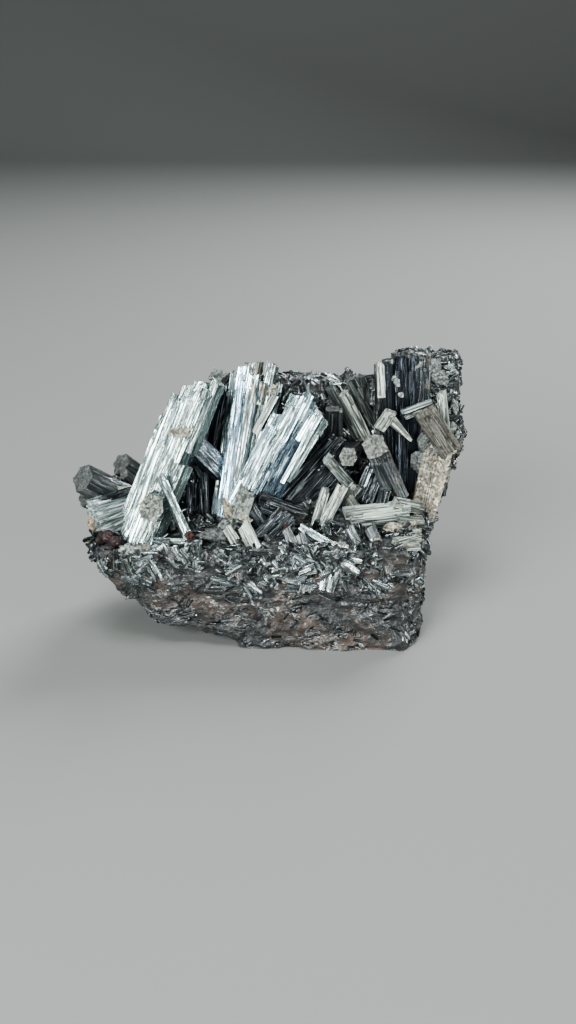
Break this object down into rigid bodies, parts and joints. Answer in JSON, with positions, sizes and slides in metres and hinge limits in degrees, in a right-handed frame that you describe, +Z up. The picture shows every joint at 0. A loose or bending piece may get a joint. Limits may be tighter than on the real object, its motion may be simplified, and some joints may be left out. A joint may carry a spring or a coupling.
{
  "type": "manganite mineral specimen",
  "caption": "Cluster of striated metallic manganite crystals, in leaning bundles and broken stubs, on an L-shaped block of massive dark ore with a flat underside to rest on.",
  "frame": {"origin": "middle of the specimen's footprint box, on the flat broken face that it rests on", "axes": "+X to the right along the broken front face, +Y to the back wall, +Z up"},
  "size_m": [0.1296, 0.063, 0.0875],
  "materials": {
    "silver_crystal": "bright submetallic, striated along the crystal",
    "dark_crystal": "black submetallic, striated along the crystal",
    "stained_crystal": "striated, with a thin beige to brown film",
    "rough_crystal_end": "grey and granular, with fine sparkle",
    "massive_ore": "broken, dark brown-black, with small bright crystal faces"
  },
  "bodies": {
    "root": {"ore_matrix": "massive_ore", "leaning_slab_bundle": "silver_crystal", "tall_centre_bundle": "silver_crystal", "right_fan_bundle": "silver_crystal", "tower_columns": "dark_crystal", "prop_blade": "silver_crystal", "slim_blade": "silver_crystal", "cross_blades": "dark_crystal", "hex_stub_large": "rough_crystal_end", "hex_stub_small": "rough_crystal_end", "striated_rod": "silver_crystal", "bright_spike": "silver_crystal", "brown_blade": "stained_crystal", "tower_small_blades": "silver_crystal", "pale_flank_blades": "stained_crystal", "grey_block_crystal": "rough_crystal_end", "back_wall_spray": "silver_crystal", "hollow_spikes": "silver_crystal", "hollow_rods": "silver_crystal", "dark_wedge_crystals": "dark_crystal", "dark_fan_blades": "dark_crystal", "lying_pale_crystals": "silver_crystal", "slanting_front_blade": "silver_crystal", "dark_foot_bundle": "dark_crystal", "pale_foot_shards": "stained_crystal", "layered_foot_crystals": "dark_crystal", "front_lump_crystals": "rough_crystal_end", "lying_needle": "silver_crystal", "left_stub_block": "rough_crystal_end", "left_rear_stub": "rough_crystal_end", "left_thin_blades": "dark_crystal", "left_low_spray": "silver_crystal"}
  },
  "joints": []
}
